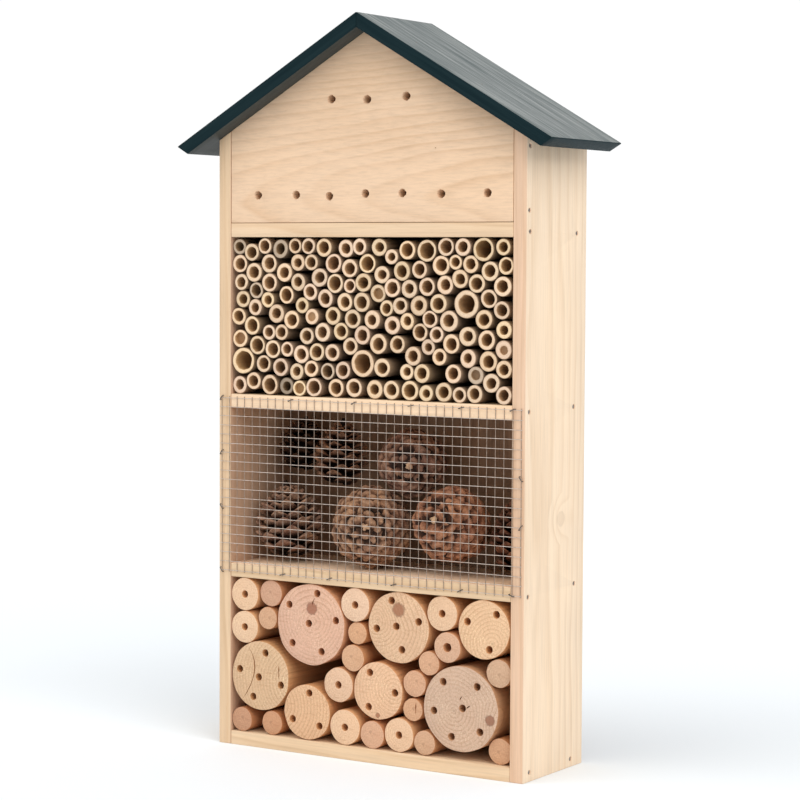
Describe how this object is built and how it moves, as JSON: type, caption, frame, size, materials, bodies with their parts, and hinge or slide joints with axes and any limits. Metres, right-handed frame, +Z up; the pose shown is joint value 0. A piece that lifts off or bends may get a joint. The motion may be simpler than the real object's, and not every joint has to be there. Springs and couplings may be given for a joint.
{
  "type": "insect hotel",
  "caption": "Gabled wooden insect hotel with bays of bamboo canes, pine cones behind wire mesh, and drilled logs, under a painted roof.",
  "frame": {"origin": "on the ground, under the centre of the roof's plan", "axes": "+X to the right seen from the front, +Y from the front to the back, +Z up"},
  "size_m": [0.296, 0.094, 0.5],
  "materials": {
    "pine_board": "planed, unfinished",
    "plywood": "sanded thin plywood",
    "painted_roof": "thin green-grey paint, satin",
    "bamboo": "sawn cane",
    "log_wood": "sawn end grain",
    "branch_wood": "sawn end grain",
    "pine_cone": "dry woody scales",
    "galvanised_wire": "galvanised",
    "staple_steel": "dull",
    "nail_steel": "dull",
    "zinc_plate": "zinc plated"
  },
  "bodies": {
    "root": {"left_side": "pine_board", "right_side": "pine_board", "base_board": "pine_board", "lower_shelf": "pine_board", "middle_shelf": "pine_board", "upper_shelf": "pine_board", "gable_front": "pine_board", "back_panel": "plywood", "roof_left": "painted_roof", "roof_right": "painted_roof", "wire_mesh": "galvanised_wire", "mesh_staples": "staple_steel", "frame_nails": "nail_steel", "brads": "nail_steel", "hanger_plate": "zinc_plate", "hanger_screws": "zinc_plate", "drilled_log_1": "log_wood", "pine_cone_1": "pine_cone", "drilled_log_2": "log_wood", "pine_cone_2": "pine_cone", "drilled_log_3": "log_wood", "pine_cone_3": "pine_cone", "drilled_log_4": "log_wood", "pine_cone_4": "pine_cone", "drilled_log_5": "log_wood", "pine_cone_5": "pine_cone", "drilled_log_6": "log_wood", "pine_cone_6": "pine_cone", "drilled_log_7": "log_wood", "pine_cone_7": "pine_cone", "drilled_branch_1": "log_wood", "drilled_branch_2": "log_wood", "drilled_branch_3": "log_wood", "drilled_branch_4": "log_wood", "drilled_branch_5": "log_wood", "drilled_branch_6": "log_wood", "drilled_branch_7": "log_wood", "drilled_branch_8": "log_wood", "plain_branch_1": "branch_wood", "plain_branch_2": "branch_wood", "plain_branch_3": "branch_wood", "plain_branch_4": "branch_wood", "plain_branch_5": "branch_wood", "plain_branch_6": "branch_wood", "plain_branch_7": "branch_wood", "plain_branch_8": "branch_wood", "plain_branch_9": "branch_wood", "plain_branch_10": "branch_wood", "plain_branch_11": "branch_wood", "plain_branch_12": "branch_wood", "plain_branch_13": "branch_wood", "cane_row_1": "bamboo", "cane_row_2": "bamboo", "cane_row_3": "bamboo", "cane_row_4": "bamboo", "cane_row_5": "bamboo", "cane_row_6": "bamboo", "cane_row_7": "bamboo", "cane_row_8": "bamboo", "cane_row_9": "bamboo"}
  },
  "joints": []
}
